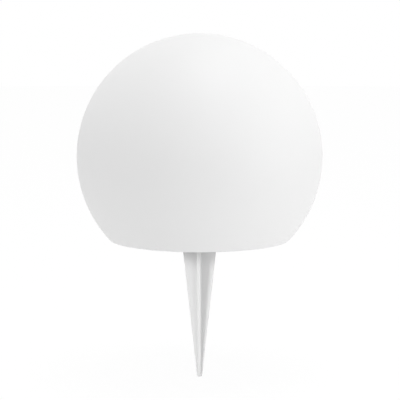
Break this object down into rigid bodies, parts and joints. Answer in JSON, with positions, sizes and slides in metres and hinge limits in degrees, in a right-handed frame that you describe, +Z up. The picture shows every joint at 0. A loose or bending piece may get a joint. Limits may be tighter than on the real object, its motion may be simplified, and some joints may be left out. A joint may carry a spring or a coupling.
{
  "type": "garden globe light",
  "caption": "Milky garden globe light with a flat base, lit from inside by a sealed rechargeable module, standing on a cross-ribbed ground spike it lifts off.",
  "frame": {"origin": "centre of the globe's flat base, which lies at ground level", "axes": "+Z up through the globe's crown; the spike points down -Z; the power button is at -Y and the charging port at +Y"},
  "size_m": [0.2999, 0.2998, 0.424],
  "materials": {
    "milky_skin": "milky satin polyethylene",
    "spike_plastic": "pale grey moulded plastic",
    "cap_plastic": "fine moulded texture",
    "housing_plastic": "plain moulded",
    "frosted_cover": "frosted",
    "silicone": "matte silicone",
    "flap_rubber": "matte rubber",
    "key_plastic": "satin",
    "stainless": "bright stainless",
    "brass": "turned",
    "board_green": "solder mask",
    "board_white": "white solder mask",
    "aluminium": "rolled",
    "black_parts": "moulded epoxy",
    "cell_sleeve": "shrink sleeve",
    "nickel": "nickel strip",
    "phosphor": "phosphor fill",
    "foam": "closed-cell foam",
    "vent_cloth": "fine membrane",
    "guide_clear": "clear",
    "plug_plastic": "moulded nylon",
    "lead_sleeve": "soft sleeve"
  },
  "bodies": {
    "spike": {"ground_spike": "spike_plastic"},
    "lamp": {"globe_shell": "milky_skin", "threaded_inserts": "brass", "base_cap": "cap_plastic", "base_seal": "silicone", "base_screws": "stainless", "port_seal": "silicone", "charging_socket": "stainless", "hinge_pin": "stainless", "button_boot": "silicone", "button_switch": "black_parts", "charge_light_guide": "guide_clear", "vent_membrane": "vent_cloth", "control_board": "board_green", "board_parts": "black_parts", "board_screws": "stainless", "battery_holder": "housing_plastic", "battery_cells": "cell_sleeve", "cell_tabs": "nickel", "cell_pads": "foam", "holder_screws": "stainless", "module_housing": "housing_plastic", "module_seal": "silicone", "housing_screws": "stainless", "heat_spreader": "aluminium", "light_board": "board_white", "light_chips": "phosphor", "light_board_screws": "stainless", "cover_seal": "silicone", "light_cover": "frosted_cover", "cover_screws": "stainless", "lead_plugs": "plug_plastic", "light_lead": "lead_sleeve"},
    "button": {"power_button": "key_plastic"},
    "flap": {"port_flap": "flap_rubber"}
  },
  "joints": [
    {"name": "lamp_lift", "type": "slide", "parent": "spike", "child": "lamp", "axis": [0, 0, 1], "range_m": [0, 0.04]},
    {"name": "power_button", "type": "slide", "parent": "lamp", "child": "button", "axis": [0, 0, 1], "range_m": [0, 0.001], "stiffness_N_per_m": 2000, "deforming": ["button_boot"]},
    {"name": "port_flap_hinge", "type": "hinge", "parent": "lamp", "child": "flap", "pos_m": [0, 0.0413, 0.0072], "axis": [1, 0, 0], "range_deg": [0, 110]}
  ]
}
